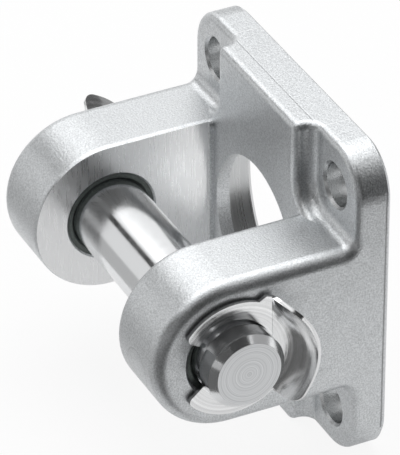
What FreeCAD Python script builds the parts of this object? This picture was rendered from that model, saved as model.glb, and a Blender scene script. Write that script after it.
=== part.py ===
import FreeCAD, Part
import math
import os
import Sketcher
from FreeCAD import Placement, Rotation, Vector

# Female rear clevis for a 40 mm bore cylinder: one aluminium casting with two ears,
# a bush pressed into each ear, a ground steel pin and a spring clip at each pin end.
# X runs along the pin, Y = 0 is the mounting face with the ears towards -Y, Z is up.

# Driving sizes in millimetres
SIZES = {
    # casting, as cast
    "flange_side": 52.0,
    "flange_corner_radius": 7.0,
    "pad_thickness": 5.4,
    "web_thickness": 8.5,
    "web_width": 24.6,
    "web_corner_radius": 5.2,
    "cast_gap": 26.8,
    "ear_end_radius": 12.1,
    "ear_end_offset": 0.3,
    "ear_root_height": 24.4,
    "foot_fillet": 1.85,
    "ear_inner_rim_fillet": 1.3,
    "ear_outer_rim_fillet": 2.0,
    "flange_rim_fillet": 1.1,
    "web_rim_fillet": 1.15,
    "back_chamfer": 0.5,
    # casting, as machined
    "gap_width": 28.0,
    "gap_floor_step": 0.6,
    "pin_height": 25.0,
    "bolt_edge_distance": 7.0,
    "bolt_hole_diameter": 6.6,
    "bolt_hole_chamfer": 0.4,
    "spigot_diameter": 35.0,
    "spigot_depth": 6.4,
    "spigot_chamfer": 0.6,
    "opening_diameter": 24.6,
    "bore_chamfer_inner": 0.3,
    "bore_chamfer_outer": 0.5,
    # bushes
    "bush_diameter": 14.0,
    "bush_recess_inner": 0.25,
    "bush_recess_outer": 0.9,
    "bush_bore_chamfer": 0.3,
    # pin
    "pin_diameter": 12.0,
    "pin_clearance": 0.04,
    "pin_overhang": 5.15,
    "pin_chamfer": 1.0,
    "groove_diameter": 10.6,
    "groove_width": 1.25,
    "groove_setback": 0.1,
    # clips
    "clip_thickness": 0.55,
    "clip_ear_gap": 0.3,
    "clip_grip_clearance": 0.05,
    "clip_radius": 9.3,
    "clip_mouth_angle": 68.0,
    "clip_tip_radius": 0.9,
    "clip_dish_radius": 7.0,
    "clip_dish_floor_radius": 4.05,
    "clip_dish_depth": 0.35,
    "clip_dish_offset": 1.3,
    "shoulder_start": 3.9,
    "shoulder_start_height": 8.5,
    "shoulder_corner": 5.0,
    "shoulder_corner_height": 9.1,
    "lip_bend_distance": 5.8,
    "lip_base_top": 8.6,
    "lip_base_bottom": 7.4,
    "lip_reach": 11.0,
    "lip_rise": 4.1,
    "lip_first_lean": 12.0,
    "lip_lean": 80.0,
    "lip_wing_reach": 7.6,
    "lip_rim_top": 7.5,
    "lip_rim_bottom": 8.0,
    "lip_corner_radius": 2.0,
    "near_clip_angle": 1.0,
    "far_clip_angle": 26.0,
}

doc = FreeCAD.newDocument("rear_clevis")
sheet = doc.addObject("Spreadsheet::Sheet", "sizes")
for row, (alias, value) in enumerate(SIZES.items(), start=1):
    sheet.set(f"A{row}", alias)
    sheet.set(f"B{row}", str(value))
    sheet.setAlias(f"B{row}", alias)
doc.recompute()


def size(alias):
    """The sheet's value as a plain number."""
    return float(sheet.get(alias))


# Planes for sketches: x to the right along X with y up along Z and the normal along -Y,
# and x along Y with y up along Z and the normal along +X
FACING_FRONT = Rotation(Vector(1, 0, 0), 90)
FACING_SIDE = Rotation(Vector(1, 1, 1), 120)


def polar(centre, radius, degrees):
    angle = math.radians(degrees)
    return centre + Vector(radius * math.cos(angle), radius * math.sin(angle), 0)


def line(start, end):
    return Part.LineSegment(start, end)


def arc(centre, radius, first, last):
    """Arc from one angle to another in degrees, clockwise where last is the smaller."""
    middle = polar(centre, radius, (first + last) / 2)
    return Part.Arc(polar(centre, radius, first), middle, polar(centre, radius, last))


def close_outline(sketch, pieces):
    """Add the pieces in order, joined end to start, and return their indices."""
    indices = [sketch.addGeometry(piece, False) for piece in pieces]
    for here, after in zip(range(len(pieces)), [*range(1, len(pieces)), 0]):
        end = pieces[here].toShape().Vertexes[-1].Point
        ends = (sketch.getPoint(indices[here], 1), sketch.getPoint(indices[here], 2))
        here_point = 1 if (ends[0] - end).Length < (ends[1] - end).Length else 2
        start = pieces[after].toShape().Vertexes[0].Point
        starts = (sketch.getPoint(indices[after], 1), sketch.getPoint(indices[after], 2))
        after_point = 1 if (starts[0] - start).Length < (starts[1] - start).Length else 2
        ends_meet = (indices[here], here_point, indices[after], after_point)
        sketch.addConstraint(Sketcher.Constraint("Coincident", *ends_meet))
    return indices


def bind(sketch, name, constraint, expression):
    """Add a named dimension and tie it to the sheet."""
    number = sketch.addConstraint(constraint)
    sketch.renameConstraint(number, name)
    sketch.setExpression(f"Constraints.{name}", expression)


def free_sketch(name, rotation, offset=Vector(0, 0, 0)):
    sketch = doc.addObject("Sketcher::SketchObject", name)
    sketch.Placement = Placement(offset, rotation)
    return sketch


def extrusion(name, sketch, length):
    solid = doc.addObject("Part::Extrusion", name)
    solid.Base = sketch
    solid.DirMode = "Normal"
    solid.Solid = True
    solid.setExpression("LengthFwd", length)
    return solid


def cylinder(name, diameter, length, rotation, x="0", y="0", z="0"):
    """Cylinder whose base centre and sizes follow the sheet."""
    tool = doc.addObject("Part::Cylinder", name)
    tool.Placement = Placement(Vector(0, 0, 0), rotation)
    tool.setExpression("Radius", f"({diameter}) / 2")
    tool.setExpression("Height", length)
    place(tool, x, y, z)
    return tool


def cone(name, base_radius, top_radius, length, rotation, x="0", y="0", z="0"):
    """Cone frustum whose base centre and sizes follow the sheet."""
    tool = doc.addObject("Part::Cone", name)
    tool.Placement = Placement(Vector(0, 0, 0), rotation)
    tool.setExpression("Radius1", base_radius)
    tool.setExpression("Radius2", top_radius)
    tool.setExpression("Height", length)
    place(tool, x, y, z)
    return tool


def place(tool, x, y, z):
    for axis, expression in (("x", x), ("y", y), ("z", z)):
        if expression != "0":
            tool.setExpression(f"Placement.Base.{axis}", expression)


def fuse(name, pieces):
    joined = doc.addObject("Part::MultiFuse", name)
    joined.Shapes = pieces
    return joined


def cut(name, base, tool):
    remaining = doc.addObject("Part::Cut", name)
    remaining.Base = base
    remaining.Tool = tool
    return remaining


def mirror(name, source, normal):
    copy = doc.addObject("Part::Mirroring", name)
    copy.Source = source
    copy.Normal = normal
    return copy


def fillet(name, base, radii):
    """Fillet with a start and end radius for each edge number."""
    rounded = doc.addObject("Part::Fillet", name)
    rounded.Base = base
    rounded.Edges = radii
    return rounded


def edges_where(shape, test):
    return [number for number, edge in enumerate(shape.Edges, start=1) if test(edge)]


TOUCH = 0.01


def near(value, target):
    return abs(value - target) < TOUCH / 100


# Casting: square flange plate
half_side = size("flange_side") / 2
corner = size("flange_corner_radius")
inset = half_side - corner
flange_sketch = free_sketch("flange_outline", FACING_FRONT)
flange_lines = close_outline(
    flange_sketch,
    [
        line(Vector(-inset, -half_side), Vector(inset, -half_side)),
        arc(Vector(inset, -inset), corner, -90, 0),
        line(Vector(half_side, -inset), Vector(half_side, inset)),
        arc(Vector(inset, inset), corner, 0, 90),
        line(Vector(inset, half_side), Vector(-inset, half_side)),
        arc(Vector(-inset, inset), corner, 90, 180),
        line(Vector(-half_side, inset), Vector(-half_side, -inset)),
        arc(Vector(-inset, -inset), corner, 180, 270),
    ],
)
bind(
    flange_sketch,
    "half_width",
    Sketcher.Constraint("DistanceX", -1, 1, flange_lines[2], 1, half_side),
    "sizes.flange_side / 2",
)
bind(
    flange_sketch,
    "half_height",
    Sketcher.Constraint("DistanceY", -1, 1, flange_lines[4], 1, half_side),
    "sizes.flange_side / 2",
)
for corner_arc in flange_lines[1::2]:
    bind(
        flange_sketch,
        f"corner_{corner_arc}",
        Sketcher.Constraint("Radius", corner_arc, corner),
        "sizes.flange_corner_radius",
    )
flange = extrusion("flange", flange_sketch, "sizes.pad_thickness")

# Casting: ears, straight sides that run tangent into the round end, cast a little beyond the pin
pad = size("pad_thickness")
pin_height = size("pin_height")
end_radius = size("ear_end_radius")
end_height = pin_height + size("ear_end_offset")
root_half = size("ear_root_height") / 2
end_centre = Vector(-end_height, 0)
root_top = Vector(0, root_half)
end_to_root = root_top - end_centre
tangent_angle = math.degrees(
    math.atan2(end_to_root.y, end_to_root.x) + math.acos(end_radius / end_to_root.Length)
)
end_top = polar(end_centre, end_radius, tangent_angle)
end_tip = polar(end_centre, end_radius, 180)
end_bottom = polar(end_centre, end_radius, -tangent_angle)
root_bottom = Vector(0, -root_half)

ear_sketch = free_sketch("ear_outline", FACING_SIDE)
ear_lines = close_outline(
    ear_sketch,
    [
        line(root_top, end_top),
        Part.Arc(end_top, end_tip, end_bottom),
        line(end_bottom, root_bottom),
        line(root_bottom, root_top),
    ],
)
bind(
    ear_sketch,
    "end_radius",
    Sketcher.Constraint("Radius", ear_lines[1], end_radius),
    "sizes.ear_end_radius",
)
bind(
    ear_sketch,
    "end_height",
    Sketcher.Constraint("DistanceX", ear_lines[1], 3, -1, 1, end_height),
    "sizes.pin_height + sizes.ear_end_offset",
)
place(ear_sketch, "sizes.cast_gap / 2", "0", "0")
ear_blank = extrusion("ear_blank", ear_sketch, "(sizes.flange_side - sizes.cast_gap) / 2")
doc.recompute()

inner_face = size("cast_gap") / 2
inner_rim_radius = size("ear_inner_rim_fillet")


def on_inner_rim(edge):
    box = edge.BoundBox
    return near(box.XMin, inner_face) and near(box.XMax, inner_face) and box.YMin < -pad


inner_rim = [
    (number, inner_rim_radius, inner_rim_radius)
    for number in edges_where(ear_blank.Shape, on_inner_rim)
]
near_ear = fillet("near_ear", ear_blank, inner_rim)
far_ear = mirror("far_ear", near_ear, Vector(1, 0, 0))
# Casting: raised web between the bolt pads, with arms as thick as itself that run flush
# with the ears' tops and bottoms
web = size("web_thickness")
web_half = size("web_width") / 2
web_bar = doc.addObject("Part::Box", "web_bar")
web_bar.setExpression("Length", "sizes.web_width")
web_bar.setExpression("Width", "sizes.web_thickness")
web_bar.setExpression("Height", "sizes.flange_side")
place(web_bar, "-sizes.web_width / 2", "-sizes.web_thickness", "-sizes.flange_side / 2")

arm_top = root_top + (end_top - root_top) * (web / -end_top.x)
arm_bottom = Vector(arm_top.x, -arm_top.y)
arm_sketch = free_sketch("arm_outline", FACING_SIDE)
close_outline(
    arm_sketch,
    [
        line(root_top, arm_top),
        line(arm_top, arm_bottom),
        line(arm_bottom, root_bottom),
        line(root_bottom, root_top),
    ],
)
place(arm_sketch, "-sizes.flange_side / 2", "0", "0")
arm_blank = extrusion("arm_blank", arm_sketch, "sizes.flange_side")
cross = fuse("web_cross", [web_bar, arm_blank])
cross.Refine = True
doc.recompute()


def in_web_corner(edge):
    """From pad to front where the bar's side meets an arm."""
    box = edge.BoundBox
    on_side = near(abs(box.XMin), web_half) and near(box.XMax, box.XMin)
    return on_side and near(box.YMin, -web) and near(box.YMax, 0) and abs(box.ZMin) < half_side - corner


def on_web_rim(edge):
    box = edge.BoundBox
    on_front = near(box.YMin, -web) and near(box.YMax, -web)
    on_arm = near(box.YMin, -web) and near(box.ZMin, box.ZMax)
    return on_front and not on_arm and box.XMax - box.XMin < web_half


web_corner = size("web_corner_radius")
web_corners = [(number, web_corner, web_corner) for number in edges_where(cross.Shape, in_web_corner)]
cornered_web = fillet("cornered_web", cross, web_corners)
doc.recompute()
web_rim = size("web_rim_fillet")
web_rims = [(number, web_rim, web_rim) for number in edges_where(cornered_web.Shape, on_web_rim)]
web_block = fillet("web_block", cornered_web, web_rims)
joined_shell = fuse("flange_ears_and_web", [flange, near_ear, far_ear, web_block])
joined_shell.Refine = True
doc.recompute()


def on_pad_outline(edge):
    """The pads' inner edges, against the web's sides and the ears."""
    box = edge.BoundBox
    on_front = near(box.YMin, -pad) and near(box.YMax, -pad)
    inside = max(-box.XMin, box.XMax, -box.ZMin, box.ZMax) < half_side + TOUCH
    on_side = near(abs(box.XMin), half_side) and near(box.XMax, box.XMin)
    on_top = near(abs(box.ZMin), half_side) and near(box.ZMax, box.ZMin)
    flange_corner = near(box.XMax - box.XMin, corner) and near(box.ZMax - box.ZMin, corner)
    return on_front and inside and not (on_side or on_top or flange_corner)


foot = size("foot_fillet")
feet = [(number, foot, foot) for number in edges_where(joined_shell.Shape, on_pad_outline)]
footed_shell = fillet("footed_shell", joined_shell, feet)
near_space = doc.addObject("Part::Box", "near_space")
near_space.setExpression("Length", "sizes.flange_side")
near_space.setExpression("Width", "sizes.flange_side * 2")
near_space.setExpression("Height", "sizes.flange_side * 2")
place(near_space, "0", "-sizes.flange_side", "-sizes.flange_side")
near_half = doc.addObject("Part::Common", "near_half")
near_half.Base = footed_shell
near_half.Tool = near_space
doc.recompute()

# The outer rim of each half is one line: full size round the ear, easing down the ear's feet
# to the flange's
flange_rim = size("flange_rim_fillet")
ear_rim = size("ear_outer_rim_fillet")


def on_outer_rim(edge):
    box = edge.BoundBox
    on_side = near(abs(box.XMin), half_side) and near(box.XMax, box.XMin)
    on_top = near(abs(box.ZMin), half_side) and near(box.ZMax, box.ZMin)
    flange_corner = near(box.XMax - box.XMin, corner) and near(box.ZMax - box.ZMin, corner)
    return box.YMax < -pad + TOUCH and (on_side or on_top or flange_corner)


def rim_radius(point):
    on_ear = near(abs(point.x), half_side) and point.y < -pad - TOUCH
    return ear_rim if on_ear else flange_rim


outer_rim = []
for number in edges_where(near_half.Shape, on_outer_rim):
    edge = near_half.Shape.Edges[number - 1]
    first, last = (edge.valueAt(parameter) for parameter in edge.ParameterRange)
    outer_rim.append((number, rim_radius(first), rim_radius(last)))
rounded_half = fillet("rounded_half", near_half, outer_rim)
far_half = mirror("far_half", rounded_half, Vector(1, 0, 0))
casting_blank = fuse("casting_blank", [rounded_half, far_half])
casting_blank.Refine = True
doc.recompute()

# Machining of the casting
FACING_BACK = Rotation(Vector(1, 0, 0), -90)
ALONG_PIN = Rotation(Vector(0, 1, 0), 90)

spigot_recess = cylinder("spigot_recess", "sizes.spigot_diameter", "sizes.spigot_depth", FACING_FRONT)
spigot_lead = cone(
    "spigot_lead",
    "sizes.spigot_diameter / 2 + sizes.spigot_chamfer",
    "sizes.spigot_diameter / 2",
    "sizes.spigot_chamfer",
    FACING_FRONT,
)
opening = cylinder("opening", "sizes.opening_diameter", "sizes.web_thickness * 2", FACING_FRONT)
tools = [spigot_recess, spigot_lead, opening]

gap_cutter = doc.addObject("Part::Box", "gap_cutter")
gap_cutter.setExpression("Length", "sizes.gap_width")
gap_cutter.setExpression("Width", "sizes.pin_height + sizes.ear_end_radius * 2")
gap_cutter.setExpression("Height", "sizes.ear_root_height + sizes.ear_end_radius * 2")
gap_cutter.setExpression("Placement.Base.x", "-sizes.gap_width / 2")
gap_cutter.setExpression(
    "Placement.Base.y",
    "-sizes.web_thickness - sizes.gap_floor_step - sizes.pin_height - sizes.ear_end_radius * 2",
)
gap_cutter.setExpression(
    "Placement.Base.z", "-sizes.ear_root_height / 2 - sizes.ear_end_radius"
)
tools.append(gap_cutter)

for side_x in (-1, 1):
    for side_z in (-1, 1):
        where = f"{'far' if side_x < 0 else 'near'}_{'low' if side_z < 0 else 'high'}"
        hole_x = f"{side_x} * (sizes.flange_side / 2 - sizes.bolt_edge_distance)"
        hole_z = f"{side_z} * (sizes.flange_side / 2 - sizes.bolt_edge_distance)"
        tools.append(
            cylinder(
                f"bolt_hole_{where}",
                "sizes.bolt_hole_diameter",
                "sizes.pad_thickness * 2",
                FACING_FRONT,
                x=hole_x,
                z=hole_z,
            )
        )
        tools.append(
            cone(
                f"bolt_chamfer_{where}",
                "sizes.bolt_hole_diameter / 2 + sizes.bolt_hole_chamfer",
                "sizes.bolt_hole_diameter / 2",
                "sizes.bolt_hole_chamfer",
                FACING_BACK,
                x=hole_x,
                y="-sizes.pad_thickness",
                z=hole_z,
            )
        )

bush_seat = cylinder(
    "bush_seat",
    "sizes.bush_diameter",
    "sizes.flange_side * 2",
    ALONG_PIN,
    x="-sizes.flange_side",
    y="-sizes.pin_height",
)
tools.append(bush_seat)
OUTWARD = {"near": ALONG_PIN, "far": Rotation(Vector(0, 1, 0), -90)}
SIGN = {"near": "", "far": "-"}
for side in ("near", "far"):
    inward = OUTWARD["far" if side == "near" else "near"]
    tools.append(
        cone(
            f"inner_lead_{side}",
            "sizes.bush_diameter / 2 + sizes.bore_chamfer_inner",
            "sizes.bush_diameter / 2",
            "sizes.bore_chamfer_inner",
            OUTWARD[side],
            x=f"{SIGN[side]}sizes.gap_width / 2",
            y="-sizes.pin_height",
        )
    )
    tools.append(
        cone(
            f"outer_lead_{side}",
            "sizes.bush_diameter / 2 + sizes.bore_chamfer_outer",
            "sizes.bush_diameter / 2",
            "sizes.bore_chamfer_outer",
            inward,
            x=f"{SIGN[side]}sizes.flange_side / 2",
            y="-sizes.pin_height",
        )
    )

machining = fuse("machining", tools)
machined = cut("machined", casting_blank, machining)
doc.recompute()


def on_back_outline(edge):
    box = edge.BoundBox
    on_back = near(box.YMin, 0) and near(box.YMax, 0)
    return on_back and max(abs(box.XMin), box.XMax, abs(box.ZMin), box.ZMax) > half_side - TOUCH


clevis_body = doc.addObject("Part::Chamfer", "clevis_body")
clevis_body.Base = machined
chamfer_size = size("back_chamfer")
clevis_body.Edges = [
    (number, chamfer_size, chamfer_size) for number in edges_where(machined.Shape, on_back_outline)
]
clevis_body.Label = "clevis_body"


def plane_of(body, role):
    return next(item for item in body.Origin.OriginFeatures if item.Role == role)


def turned_body(name, profile, expressions):
    """Body turned about the pin axis from a closed half profile, x along the axis."""
    body = doc.addObject("PartDesign::Body", name)
    body.Label = name
    sketch = body.newObject("Sketcher::SketchObject", f"{name}_profile")
    sketch.AttachmentSupport = (plane_of(body, "XY_Plane"), [""])
    sketch.MapMode = "FlatFace"
    pieces = [line(start, end) for start, end in zip(profile, profile[1:] + profile[:1])]
    lines = close_outline(sketch, pieces)
    for index, (axis, expression) in expressions.items():
        value = profile[index].x if axis == "DistanceX" else profile[index].y
        constraint = Sketcher.Constraint(axis, -1, 1, lines[index], 1, value)
        bind(sketch, f"point_{index}_{axis}", constraint, expression)
    turning = body.newObject("PartDesign::Revolution", f"{name}_turning")
    turning.Profile = sketch
    turning.ReferenceAxis = (sketch, ["H_Axis"])
    turning.Angle = 360.0
    body.Tip = turning
    body.setExpression("Placement.Base.y", "-sizes.pin_height")
    return body


# Bushes, one pressed into each ear with its ends below the ear's faces
ear_inner = size("gap_width") / 2
ear_outer = half_side
bush_radius = size("bush_diameter") / 2
bush_bore = size("pin_diameter") / 2 + size("pin_clearance")
bush_start = ear_inner + size("bush_recess_inner")
bush_end = ear_outer - size("bush_recess_outer")
bore_lead = size("bush_bore_chamfer")
bush_profile = [
    Vector(bush_start, bush_bore + bore_lead),
    Vector(bush_start, bush_radius),
    Vector(bush_end, bush_radius),
    Vector(bush_end, bush_bore + bore_lead),
    Vector(bush_end - bore_lead, bush_bore),
    Vector(bush_start + bore_lead, bush_bore),
]
bush_ties = {
    0: ("DistanceX", "sizes.gap_width / 2 + sizes.bush_recess_inner"),
    1: ("DistanceY", "sizes.bush_diameter / 2"),
    2: ("DistanceX", "sizes.flange_side / 2 - sizes.bush_recess_outer"),
    4: ("DistanceY", "sizes.pin_diameter / 2 + sizes.pin_clearance"),
}
bushes = []
for side in ("near", "far"):
    bush = turned_body(f"{side}_bush", bush_profile, bush_ties)
    if side == "far":
        bush.Placement = Placement(bush.Placement.Base, Rotation(Vector(0, 0, 1), 180))
    bushes.append(bush)

# Pin, ground, with a clip groove and a chamfer at each end
pin_radius = size("pin_diameter") / 2
pin_end = ear_outer + size("pin_overhang")
groove_start = ear_outer + size("groove_setback")
groove_end = groove_start + size("groove_width")
groove_radius = size("groove_diameter") / 2
chamfer_start = pin_end - size("pin_chamfer")
end_face_radius = pin_radius - size("pin_chamfer")
right_half = [
    Vector(groove_start, pin_radius),
    Vector(groove_start, groove_radius),
    Vector(groove_end, groove_radius),
    Vector(groove_end, pin_radius),
    Vector(chamfer_start, pin_radius),
    Vector(pin_end, end_face_radius),
    Vector(pin_end, 0),
]
left_half = [Vector(-point.x, point.y) for point in reversed(right_half)]
pin_ties = {
    7: ("DistanceX", "-sizes.flange_side / 2 - sizes.pin_overhang"),
    6: ("DistanceX", "sizes.flange_side / 2 + sizes.pin_overhang"),
    4: ("DistanceY", "sizes.pin_diameter / 2"),
    2: ("DistanceY", "sizes.groove_diameter / 2"),
}
pin = turned_body("clevis_pin", right_half + left_half, pin_ties)

# Clips: a fork that springs into the groove, its back edge turned out as a hollowed lip.
# The clip is drawn in its own frame with x away from the ear and y towards the lip.
clip_back = size("clip_ear_gap")
clip_front = clip_back + size("clip_thickness")
grip_radius = groove_radius + size("clip_grip_clearance")
fork_radius = size("clip_radius")
half_mouth = math.radians(size("clip_mouth_angle") / 2)
bend = size("lip_bend_distance")
sheet_thickness = size("clip_thickness")
past = clip_front + sheet_thickness
OUT = Vector(1, 0, 0)


def slab(points, start, end):
    """Straight-sided plate from its corners, y away from the pin and z up."""
    face = Part.Face(Part.makePolygon([*points, points[0]]))
    face.translate(Vector(start, 0, 0))
    return face.extrude(Vector(end - start, 0, 0))


def ring_slab(radius, start, end):
    return Part.makeCylinder(radius, end - start, Vector(start, 0, 0), OUT)


def edges_at(shape, points):
    """The edges across the sheet that end at one of the points."""
    return [
        edge
        for edge in shape.Edges
        if edge.Length < sheet_thickness + size("clip_ear_gap")
        and any((vertex.Point - point).Length < TOUCH for vertex in edge.Vertexes for point in points)
    ]


def fork_plate():
    reach = fork_radius * 2
    lip_root = bend + sheet_thickness
    shoulder = [
        Vector(0, size("shoulder_start"), size("shoulder_start_height")),
        Vector(0, size("shoulder_corner"), size("shoulder_corner_height")),
        Vector(0, lip_root, size("lip_base_top")),
        Vector(0, lip_root, -size("lip_base_bottom")),
        Vector(0, size("shoulder_start"), -size("lip_base_bottom")),
    ]
    behind_lip = [
        Vector(0, lip_root, reach),
        Vector(0, reach, reach),
        Vector(0, reach, -reach),
        Vector(0, lip_root, -reach),
    ]
    mouth_reach = reach * math.tan(half_mouth)
    mouth = [Vector(0, 0, 0), Vector(0, -reach, mouth_reach), Vector(0, -reach, -mouth_reach)]
    blank = ring_slab(fork_radius, clip_back, clip_front).fuse(slab(shoulder, clip_back, clip_front))
    plate = blank.cut(slab(behind_lip, 0, past)).cut(slab(mouth, 0, past))
    tip_y = -fork_radius * math.cos(half_mouth)
    tip_z = fork_radius * math.sin(half_mouth)
    tips = [Vector(clip_front, tip_y, tip_z), Vector(clip_front, tip_y, -tip_z)]
    rounded = plate.makeFillet(size("clip_tip_radius"), edges_at(plate, tips))
    dish_depth = size("clip_dish_depth")
    dish = Part.makeCone(
        size("clip_dish_floor_radius"),
        size("clip_dish_radius"),
        dish_depth,
        Vector(clip_front - dish_depth, -size("clip_dish_offset"), 0),
        OUT,
    )
    return rounded.cut(dish).cut(ring_slab(grip_radius, 0, past))


def lip_point(along, across):
    """Point on the lip's hollow face, along it from 0 to 1 and across it from -1 to 1."""
    first = math.radians(size("lip_first_lean"))
    last = math.radians(size("lip_lean"))
    lean = first + (last - first) * along
    raised = (math.cos(first) - math.cos(lean)) / (math.cos(first) - math.cos(last))
    reached = (math.sin(lean) - math.sin(first)) / (math.sin(last) - math.sin(first))
    middle = bend + (size("lip_reach") - bend) * reached
    wing = bend + (size("lip_wing_reach") - bend) * raised
    top = size("lip_base_top") + (size("lip_rim_top") - size("lip_base_top")) * raised
    bottom = size("lip_base_bottom") + (size("lip_rim_bottom") - size("lip_base_bottom")) * raised
    height = (top - bottom) / 2 + (top + bottom) / 2 * across
    rise = size("lip_rise") * raised
    return Vector(clip_front + rise, middle + (wing - middle) * across**2, height)


def lip_back_point(along, across):
    """The same point carried through the sheet, square to the hollow face."""
    lengthwise = lip_point(along + TOUCH, across) - lip_point(along - TOUCH, across)
    crosswise = lip_point(along, across + TOUCH) - lip_point(along, across - TOUCH)
    inward = crosswise.cross(lengthwise).normalize()
    return lip_point(along, across) + inward * sheet_thickness


LIP_ROWS = 5
LIP_COLUMNS = 8


def lip_face(point_at):
    """Smooth face through a grid of the lip's points."""
    rows = [row / LIP_ROWS for row in range(LIP_ROWS + 1)]
    columns = [2 * column / LIP_COLUMNS - 1 for column in range(LIP_COLUMNS + 1)]
    surface = Part.BSplineSurface()
    surface.interpolate([[point_at(along, across) for across in columns] for along in rows])
    return surface.toShape()


def hollow_lip():
    hollow = lip_face(lip_point)
    back = lip_face(lip_back_point)
    rim = [Part.makeRuledSurface(front, rear) for front, rear in zip(hollow.Edges, back.Edges)]
    skin = Part.makeShell([hollow, back, *rim])
    skin.sewShape()
    lip = Part.makeSolid(skin)
    if lip.Volume < 0:
        lip.reverse()
    corners = edges_at(lip, [lip_point(1, -1), lip_point(1, 1)])
    return lip.makeFillet(size("lip_corner_radius"), corners)


clip_shape = fork_plate().fuse(hollow_lip())
clips = []
for side, sign, turn in (("near", 1, 0), ("far", -1, 180)):
    clip = doc.addObject("Part::Feature", f"{side}_clip")
    clip.Shape = clip_shape
    clip.Label = f"{side}_clip"
    roll = Rotation(Vector(1, 0, 0), size(f"{side}_clip_angle"))
    heading = roll.multiply(Rotation(Vector(0, 1, 0), turn))
    clip.Placement = Placement(Vector(sign * ear_outer, -pin_height, 0), heading)
    clips.append(clip)
doc.recompute()

parts = [clevis_body, *bushes, pin, *clips]
failed = [item.Name for item in doc.Objects if {"Invalid", "Error"} & set(item.State)]
if failed:
    raise RuntimeError(f"failed: {failed}")
os.makedirs("parts", exist_ok=True)
for part in parts:
    if part.Shape.isNull() or not part.Shape.isValid():
        raise RuntimeError(f"bad shape: {part.Label}")
    part.Shape.exportStep(f"parts/{part.Label}.step")
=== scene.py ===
import math

import bpy
from mathutils import Matrix, Vector


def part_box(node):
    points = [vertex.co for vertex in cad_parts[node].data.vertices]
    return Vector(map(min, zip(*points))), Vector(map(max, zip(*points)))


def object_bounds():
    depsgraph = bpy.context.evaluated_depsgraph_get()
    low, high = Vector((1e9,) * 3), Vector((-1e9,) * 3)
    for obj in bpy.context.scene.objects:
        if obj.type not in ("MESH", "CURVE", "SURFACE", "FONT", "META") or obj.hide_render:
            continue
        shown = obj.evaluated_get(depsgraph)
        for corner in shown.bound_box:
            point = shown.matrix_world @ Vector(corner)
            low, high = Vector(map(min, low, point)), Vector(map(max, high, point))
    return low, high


# Cylinder rear clevis mount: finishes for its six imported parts, a white studio and the camera

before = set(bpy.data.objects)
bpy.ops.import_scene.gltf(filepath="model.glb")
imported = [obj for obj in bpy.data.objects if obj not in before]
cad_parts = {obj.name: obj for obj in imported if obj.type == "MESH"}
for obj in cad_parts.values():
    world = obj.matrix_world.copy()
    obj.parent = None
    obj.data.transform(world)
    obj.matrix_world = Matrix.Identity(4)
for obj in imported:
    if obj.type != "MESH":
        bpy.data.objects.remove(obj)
cad_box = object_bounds()

MM = 0.001
UP = Vector((0, 0, 1))
ALONG_PIN = Vector((1, 0, 0))

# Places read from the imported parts, in metres
HALF_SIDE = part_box("clevis_body")[1].x
PIN_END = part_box("clevis_pin")[1].x
bush_low, bush_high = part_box("near_bush")
PIN_AXIS = (bush_low + bush_high) / 2

# Machined places of the casting, and how near to a face its finish reaches
EAR_INNER = 14.0 * MM
SPIGOT_RADIUS = 17.5 * MM
SPIGOT_DEPTH = 6.4 * MM
SPIGOT_CHAMFER = 0.7 * MM
BOLT_OFFSET = 19.0 * MM
BOLT_RADIUS = 3.3 * MM
BOLT_CHAMFER = 0.4 * MM
FACE_REACH = 0.03 * MM

# Lines and a ring that the mould left on it, cut as shallow grooves; their dark colour is painted
# shade in these grooves
WEB_HALF = 12.3 * MM
SEAM_Y = -0.8 * MM
TOP_LINE_Y = -5.4 * MM
EJECTOR_MARK = Vector((20.0, -36.5, -2.0)) * MM
EJECTOR_RADIUS = 2.9 * MM
MARK_WIDTH = 0.16 * MM
FAINT_MARK = 0.35

# Surfaces: pits against grain and streaks of the cutter on the casting, turned ends of the
# pin, rings against scuffs on the clips
PIT_SHARE = 0.6
CUTTER_STREAKS = (6000, 5000, 240)
END_REACH = 0.05 * MM
END_ROUGHNESS = 0.32
CENTRE_DOT = 0.5 * MM
RING_SHARE = 0.6

# Colours, where there are two at the low and the high values of their pattern
WHITE = (1, 1, 1, 1)
FLOOR_GREY = (0.9, 0.9, 0.9, 1)
CAST_SKIN = ((0.5, 0.514, 0.524, 1), (0.735, 0.753, 0.766, 1))
# Painted shade: the dark colour of the mould lines, standing in for the shade in their grooves
MOULD_LINE_SHADE = (0.25, 0.255, 0.26, 1)
MILLED_FLAT = (0.93, 0.935, 0.94, 1)
TURNED_BORE = (0.6, 0.61, 0.615, 1)
GROUND_SIDE = (0.78, 0.79, 0.8, 1)
TURNED_END = ((0.73, 0.74, 0.75, 1), (0.53, 0.54, 0.55, 1))
ROLLED_SHEET = ((0.7, 0.705, 0.71, 1), (0.9, 0.905, 0.91, 1))
SINTERED_METAL = ((0.07, 0.08, 0.078, 1), (0.15, 0.17, 0.16, 1))

# The Mix node's sockets by data type: share, first, second and result
MIX_SOCKETS = {"FLOAT": (0, 2, 3, 0), "RGBA": (0, 6, 7, 2)}

# Stage, in metres
FLOOR_HALF = 0.6
FLOOR_GAP = 0.1 * MM
CARD_GAP = 0.4 * MM

# What the metals mirror of the studio. Cards that face the pin: name, azimuth and elevation in
# degrees, distance, width and height in metres, whether the width lies along the pin, tone
STANDING_CARDS = (
    ("dark_strip", 303.5, 35, 0.3, 0.3, 0.05, True, 0.06),
    ("wall_right", 92, 18, 0.5, 0.75, 0.6, False, 0.05),
    ("wall_side", 147, 12, 0.5, 0.33, 0.6, False, 0.4),
    ("wall_high", 92, 54, 0.5, 0.42, 0.2, False, 0.06),
    ("wall_left", 310, 12, 0.4, 0.6, 0.25, True, 0.84),
    ("wall_back", 212, 5, 0.5, 0.7, 0.33, False, 0.36),
    ("wall_behind", 196, 32, 0.5, 0.34, 0.22, False, 0.12),
    ("wall_front", 32, 28, 0.48, 1.1, 0.28, False, 0.1),
    ("wall_front_low", 36, 0, 0.48, 1.0, 0.18, False, 0.5),
)

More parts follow.
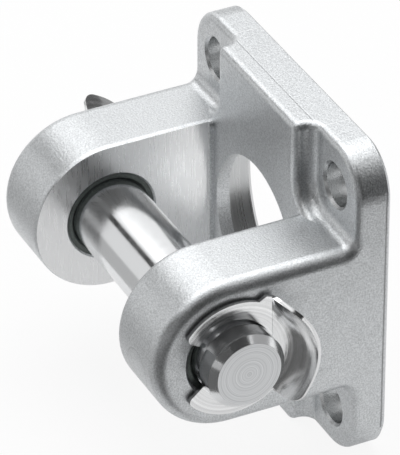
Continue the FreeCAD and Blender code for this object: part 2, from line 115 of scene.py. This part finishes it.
# Cards on the floor: name, low and high X, low and high Y in metres, tone
LYING_CARDS = (
    ("table_right", 0.1, 0.6, 0.012, 0.5, 0.04),
    ("table_near", 0.1, 0.6, -0.03, 0.012, 0.04),
    ("table_corner", 0.035, 0.6, -0.5, -0.031, 0.14),
    ("table_front", -0.5, 0.035, -0.5, -0.05, 0.52),
)


class Graph:
    """The node tree of a world or material, with short calls for its nodes."""

    def __init__(self, owner):
        owner.use_nodes = True
        self.tree = owner.node_tree

    def feed(self, node, inputs):
        """Links or sets a node's inputs, given by name or number."""
        for name, value in inputs.items():
            if isinstance(value, bpy.types.NodeSocket):
                self.tree.links.new(value, node.inputs[name])
            else:
                node.inputs[name].default_value = value

    def add(self, kind, inputs, **settings):
        node = self.tree.nodes.new(kind)
        for name, value in settings.items():
            setattr(node, name, value)
        self.feed(node, inputs)
        return node

    def math(self, operation, *values):
        return self.add("ShaderNodeMath", dict(enumerate(values)), operation=operation).outputs[0]

    def rescale(self, value, span, result=(0.0, 1.0)):
        """Value taken from one range to another and held inside it."""
        inputs = dict(enumerate((value, *span, *result)))
        return self.add("ShaderNodeMapRange", inputs).outputs[0]


class Finish(Graph):
    """A metal's material, with patterns and masks placed by the part's own coordinates."""

    def __init__(self, name, metallic=1.0):
        self.material = bpy.data.materials.new(name)
        super().__init__(self.material)
        self.shader = self.tree.nodes["Principled BSDF"]
        self.feed(self.shader, {"Metallic": metallic})
        self.place = self.add("ShaderNodeTexCoord", {}).outputs["Object"]

    def axes(self):
        """X, Y and Z of the place."""
        return tuple(self.add("ShaderNodeSeparateXYZ", {0: self.place}).outputs)

    def combined(self, *axes):
        """Vector from its first axes, with 0 for the rest."""
        return self.add("ShaderNodeCombineXYZ", dict(enumerate(axes))).outputs[0]

    def stretched(self, scale):
        return self.add("ShaderNodeMapping", {"Vector": self.place, "Scale": scale}).outputs[0]

    def noise(self, scale, detail, vector=None, roughness=0.5):
        inputs = {
            "Vector": vector or self.place,
            "Scale": scale,
            "Detail": detail,
            "Roughness": roughness,
        }
        return self.add("ShaderNodeTexNoise", inputs).outputs["Fac"]

    def cells(self, scale):
        inputs = {"Vector": self.place, "Scale": scale}
        return self.add("ShaderNodeTexVoronoi", inputs).outputs["Distance"]

    def mix(self, data_type, *values):
        *ends, result = MIX_SOCKETS[data_type]
        inputs = dict(zip(ends, values))
        return self.add("ShaderNodeMix", inputs, data_type=data_type).outputs[result]

    def blend(self, share, first, second):
        """Number between first and second."""
        return self.mix("FLOAT", share, first, second)

    def tint(self, share, first, second):
        """Colour between first and second."""
        return self.mix("RGBA", share, first, second)

    def bump(self, height, distance, strength=1.0, normal=None):
        inputs = {"Height": height, "Distance": distance, "Strength": strength}
        if normal:
            inputs["Normal"] = normal
        return self.add("ShaderNodeBump", inputs).outputs[0]

    def near(self, value, target, width):
        """1 where value lies within width of target, else 0."""
        return self.math("COMPARE", value, target, width)

    def line(self, value, target, width):
        """1 where value meets target, fading to 0 at width on each side."""
        away = self.math("ABSOLUTE", self.math("SUBTRACT", value, target))
        return self.rescale(away, span=(0.0, width), result=(1.0, 0.0))

    def radius_about(self, first, second, centre=(0.0, 0.0)):
        """Distance from an axis, from the two coordinates across it."""
        squares = [
            self.math("POWER", self.math("SUBTRACT", value, middle), 2)
            for value, middle in zip((first, second), centre)
        ]
        return self.math("SQRT", self.math("ADD", *squares))

    def radius_about_pin(self):
        y, z = self.axes()[1:]
        return self.radius_about(y, z, (PIN_AXIS.y, PIN_AXIS.z))

    def finished(self, base_color, roughness, normal):
        self.feed(self.shader, {"Base Color": base_color, "Roughness": roughness, "Normal": normal})
        return self.material


def machined_areas(graph):
    """Shares of the casting's milled flats and of its turned and drilled places."""
    x, y, z = graph.axes()
    sideways = graph.math("ABSOLUTE", x)
    ear_faces = graph.near(sideways, EAR_INNER, FACE_REACH)
    back_face = graph.math("GREATER_THAN", y, -FACE_REACH)
    spigot = graph.radius_about(x, z)
    in_recess = graph.math(
        "MULTIPLY",
        graph.math("GREATER_THAN", y, -SPIGOT_DEPTH - FACE_REACH),
        graph.math("LESS_THAN", spigot, SPIGOT_RADIUS + SPIGOT_CHAMFER),
    )
    bolt = graph.radius_about(sideways, graph.math("ABSOLUTE", z), (BOLT_OFFSET, BOLT_OFFSET))
    in_bolt = graph.math("LESS_THAN", bolt, BOLT_RADIUS + BOLT_CHAMFER - FACE_REACH)
    flats = graph.math("MAXIMUM", ear_faces, back_face)
    bores = graph.math("MAXIMUM", in_recess, in_bolt)
    return flats, bores


def mould_lines_and_shade(graph):
    """Share of what the mould left: lines down the flange's sides and across its top, and a round
    ejector mark on the near ear's end. The share cuts them as shallow grooves and darkens them with
    painted shade."""
    x, y, z = graph.axes()
    sideways = graph.math("ABSOLUTE", x)
    on_side = graph.math("GREATER_THAN", sideways, HALF_SIDE - MARK_WIDTH)
    seam = graph.math("MULTIPLY", graph.line(y, SEAM_Y, MARK_WIDTH), on_side)
    on_web_top = graph.math(
        "MULTIPLY",
        graph.math("GREATER_THAN", z, HALF_SIDE - MARK_WIDTH),
        graph.math("LESS_THAN", sideways, WEB_HALF),
    )
    top_line = graph.math("MULTIPLY", graph.line(y, TOP_LINE_Y, MARK_WIDTH), on_web_top)
    on_end = graph.math("LESS_THAN", y, EJECTOR_MARK.y)
    ring = graph.radius_about(x, z, (EJECTOR_MARK.x, EJECTOR_MARK.z))
    mark = graph.math("MULTIPLY", graph.line(ring, EJECTOR_RADIUS, MARK_WIDTH), on_end)
    faint = graph.math("MULTIPLY", graph.math("MAXIMUM", top_line, mark), FAINT_MARK)
    return graph.math("MAXIMUM", seam, faint)


def cast_aluminium():
    """Shot-blasted casting, smooth where it was machined."""
    graph = Finish("cast_aluminium")
    x, y, z = graph.axes()
    flats, bores = machined_areas(graph)
    machined = graph.math("MAXIMUM", flats, bores)
    cast = graph.math("SUBTRACT", 1.0, machined)
    # Share of the mould lines on the cast skin, used both for their grooves and for their painted
    # shade
    line_grooves_and_shade = graph.math("MULTIPLY", mould_lines_and_shade(graph), cast)

    grain = graph.noise(scale=4200, detail=3, roughness=0.7)
    pits = graph.cells(scale=2600)
    mottle = graph.noise(scale=500, detail=2)
    milled_flat = graph.noise(scale=1.0, detail=3, vector=graph.stretched(CUTTER_STREAKS))
    rings = graph.combined(graph.radius_about(x, z), y)
    turned_bore = graph.noise(scale=7000, detail=3, vector=rings)
    tooling = graph.blend(bores, milled_flat, turned_bore)

    skin = graph.tint(graph.rescale(grain, span=(0.38, 0.62)), *CAST_SKIN)
    # Painted shade: the skin darkened along the mould lines, as if shaded in their grooves
    skin_with_line_shade = graph.tint(line_grooves_and_shade, skin, MOULD_LINE_SHADE)
    cut_metal = graph.tint(bores, MILLED_FLAT, TURNED_BORE)
    rough_cast = graph.rescale(mottle, span=(0.3, 0.7), result=(0.34, 0.42))
    rough_cut = graph.rescale(tooling, span=(0.3, 0.7), result=(0.24, 0.36))

    height = graph.math("ADD", grain, graph.math("MULTIPLY", pits, PIT_SHARE))
    blasted = graph.bump(height, distance=0.03 * MM, strength=cast)
    marked = graph.bump(line_grooves_and_shade, distance=-0.08 * MM, normal=blasted)
    tooled = graph.bump(tooling, distance=0.0015 * MM, strength=machined, normal=marked)
    return graph.finished(
        base_color=graph.tint(machined, skin_with_line_shade, cut_metal),
        roughness=graph.blend(machined, rough_cast, rough_cut),
        normal=tooled,
    )


def ground_steel():
    """Pin: fine rings round the axis on its length, turned rings on its ends."""
    graph = Finish("ground_steel")
    x = graph.axes()[0]
    radius = graph.radius_about_pin()
    end = graph.math("GREATER_THAN", graph.math("ABSOLUTE", x), PIN_END - END_REACH)
    side = graph.math("SUBTRACT", 1.0, end)

    ground = graph.noise(scale=9000, detail=4, vector=graph.combined(x))
    turned = graph.noise(scale=5000, detail=3, vector=graph.combined(radius))
    scuffs = graph.noise(scale=700, detail=3)

    centre_dot = graph.line(radius, 0.0, CENTRE_DOT)
    rings = graph.math("MAXIMUM", graph.rescale(turned, span=(0.38, 0.62)), centre_dot)
    end_color = graph.tint(rings, *TURNED_END)
    rough_side = graph.rescale(scuffs, span=(0.3, 0.7), result=(0.12, 0.18))
    ground_normal = graph.bump(ground, distance=0.004 * MM, strength=side)
    return graph.finished(
        base_color=graph.tint(end, GROUND_SIDE, end_color),
        roughness=graph.blend(end, rough_side, END_ROUGHNESS),
        normal=graph.bump(turned, distance=0.02 * MM, strength=end, normal=ground_normal),
    )


def spring_steel():
    """Clips: bright rolled sheet with scuffs and faint rings about the pin."""
    graph = Finish("spring_steel")
    rings = graph.noise(scale=2200, detail=3, vector=graph.combined(graph.radius_about_pin()))
    scuffs = graph.noise(scale=900, detail=3)
    scuffs_share = graph.math("MULTIPLY", scuffs, 1 - RING_SHARE)
    uneven = graph.math("MULTIPLY_ADD", rings, RING_SHARE, scuffs_share)
    return graph.finished(
        base_color=graph.tint(graph.rescale(rings, span=(0.4, 0.62)), *ROLLED_SHEET),
        roughness=graph.rescale(uneven, span=(0.35, 0.65), result=(0.12, 0.24)),
        normal=graph.bump(rings, distance=0.012 * MM),
    )


def bearing_lining():
    """Bushes: dark sintered sleeve."""
    graph = Finish("bearing_lining", metallic=0.6)
    grain = graph.noise(scale=5000, detail=3)
    return graph.finished(
        base_color=graph.tint(graph.rescale(grain, span=(0.35, 0.65)), *SINTERED_METAL),
        roughness=graph.rescale(grain, span=(0.3, 0.7), result=(0.35, 0.5)),
        normal=graph.bump(grain, distance=0.02 * MM, strength=0.6),
    )


def dress_part():
    """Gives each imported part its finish."""
    finishes = {"clevis_body": cast_aluminium(), "clevis_pin": ground_steel()}
    clip_finish = spring_steel()
    bush_finish = bearing_lining()
    for side in ("near", "far"):
        finishes[f"{side}_clip"] = clip_finish
        finishes[f"{side}_bush"] = bush_finish
    for node, material in finishes.items():
        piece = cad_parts[node]
        for slot in piece.material_slots:
            slot.material = material


def background_share(graph, seen=1.0, mirrored=1.0):
    """How much plain white a ray meets: from the camera, and mirrored or passed through."""
    rays = graph.add("ShaderNodeLightPath", {}).outputs
    bent = graph.math("MAXIMUM", rays["Is Glossy Ray"], rays["Is Transmission Ray"])
    bent_share = graph.math("MULTIPLY", bent, mirrored)
    return graph.math("MULTIPLY_ADD", rays["Is Camera Ray"], seen, bent_share)


def make_world(light_level):
    """Even light, seen and mirrored as white."""
    world = bpy.data.worlds.new("studio")
    bpy.context.scene.world = world
    graph = Graph(world)
    strength = graph.rescale(background_share(graph), span=(0.0, 1.0), result=(light_level, 1.0))
    graph.feed(graph.tree.nodes["Background"], {"Color": WHITE, "Strength": strength})


def add_object(name, data):
    item = bpy.data.objects.new(name, data)
    bpy.context.scene.collection.objects.link(item)
    return item


def direction(azimuth, elevation):
    """Unit vector away from the part, azimuth 0 along -Y and 90 along +X, in degrees."""
    turn, rise = math.radians(azimuth), math.radians(elevation)
    return Vector((math.sin(turn) * math.cos(rise), -math.cos(turn) * math.cos(rise), math.sin(rise)))


def lying(low_x, high_x, low_y, high_y, height=CARD_GAP):
    """Corners of a level sheet, its height measured from the part's lowest point."""
    level = cad_box[0].z + height
    corners = ((low_x, low_y), (high_x, low_y), (high_x, high_y), (low_x, high_y))
    return [Vector((x, y, level)) for x, y in corners]


def standing(azimuth, elevation, distance, width, height, lengthwise=False):
    """Corners of a sheet that faces the pin, its width level or along the pin."""
    away = direction(azimuth, elevation)
    along = ALONG_PIN if lengthwise else UP.cross(away)
    along = (along - away * along.dot(away)).normalized()
    across = away.cross(along)
    centre = PIN_AXIS + away * distance
    return [
        centre + along * width / 2 * u + across * height / 2 * v
        for u, v in ((-1, -1), (1, -1), (1, 1), (-1, 1))
    ]


def sheet(name, corners, material):
    """Flat piece of the stage."""
    mesh = bpy.data.meshes.new(name)
    mesh.from_pydata(corners, [], [(0, 1, 2, 3)])
    mesh.materials.append(material)
    piece = add_object(name, mesh)
    return piece


def make_floor(seen, mirrored):
    """White floor just under the part; its shadow shows in the share that isn't plain white."""
    material = bpy.data.materials.new("floor_white")
    graph = Graph(material)
    matt = graph.tree.nodes["Principled BSDF"]
    graph.feed(matt, {"Base Color": FLOOR_GREY, "Roughness": 1.0, "Specular IOR Level": 0.0})
    white = graph.add("ShaderNodeEmission", {"Color": WHITE})
    share = background_share(graph, seen, mirrored)
    surface = graph.add("ShaderNodeMixShader", {0: share, 1: matt.outputs[0], 2: white.outputs[0]})
    graph.feed(graph.tree.nodes["Material Output"], {"Surface": surface.outputs[0]})
    corners = lying(-FLOOR_HALF, FLOOR_HALF, -FLOOR_HALF, FLOOR_HALF, -FLOOR_GAP)
    sheet("floor", corners, material)


def reflection_card(name, corners, tone):
    """Studio card that only the metals' reflections see; tone 1 shows as white in a mirror."""
    material = bpy.data.materials.new(name)
    graph = Graph(material)
    glow = graph.add("ShaderNodeEmission", {"Color": (tone, tone, tone, 1)})
    graph.feed(graph.tree.nodes["Material Output"], {"Surface": glow.outputs[0]})
    card = sheet(name, corners, material)
    for ray in ("camera", "diffuse", "transmission", "shadow"):
        setattr(card, f"visible_{ray}", False)


def softbox(name, azimuth, elevation, distance, width, height, radiance):
    """Area light that looks at the pin; metal mirrors its lit face, a plain card."""
    data = bpy.data.lights.new(name, "AREA")
    data.shape = "RECTANGLE"
    data.size = width
    data.size_y = height
    data.energy = radiance * math.pi * width * height
    lamp = add_object(name, data)
    away = direction(azimuth, elevation)
    lamp.location = PIN_AXIS + away * distance
    lamp.rotation_euler = away.to_track_quat("Z", "Y").to_euler()
    lamp.visible_glossy = False
    reflection_card(f"{name}_face", standing(azimuth, elevation, distance, width, height), radiance)


def make_camera(azimuth, elevation, roll, target, distance, pixels_per_metre, image_height):
    """Camera that looks at target, at a scale given for the image's longer side."""
    away = direction(azimuth, elevation)
    turn, tilt = math.radians(azimuth), math.radians(roll)
    level_right = Vector((math.cos(turn), math.sin(turn), 0))
    level_up = away.cross(level_right)
    right = math.cos(tilt) * level_right + math.sin(tilt) * level_up
    up = math.cos(tilt) * level_up - math.sin(tilt) * level_right
    data = bpy.data.cameras.new("camera")
    data.sensor_width = 36
    data.lens = data.sensor_width * pixels_per_metre * distance / image_height
    data.clip_start = 0.1
    data.clip_end = 10
    camera = add_object("camera", data)
    axes = Matrix((right, up, away)).transposed().to_4x4()
    camera.matrix_world = Matrix.Translation(target + away * distance) @ axes
    bpy.context.scene.camera = camera


dress_part()
make_world(light_level=0.55)
make_floor(seen=0.88, mirrored=0.4)
softbox(
    "key",
    azimuth=258,
    elevation=67,
    distance=0.5,
    width=0.5,
    height=0.45,
    radiance=2.3,
)
for name, *place, tone in STANDING_CARDS:
    reflection_card(name, standing(*place), tone)
for name, *place, tone in LYING_CARDS:
    reflection_card(name, lying(*place), tone)
make_camera(
    azimuth=63.662,
    elevation=33.729,
    roll=0.039,
    target=Vector((-4.819, -15.0, 0.38)) * MM,
    distance=700.0 * MM,
    pixels_per_metre=6794,
    image_height=455,
)
bpy.context.scene.view_settings.view_transform = "Standard"
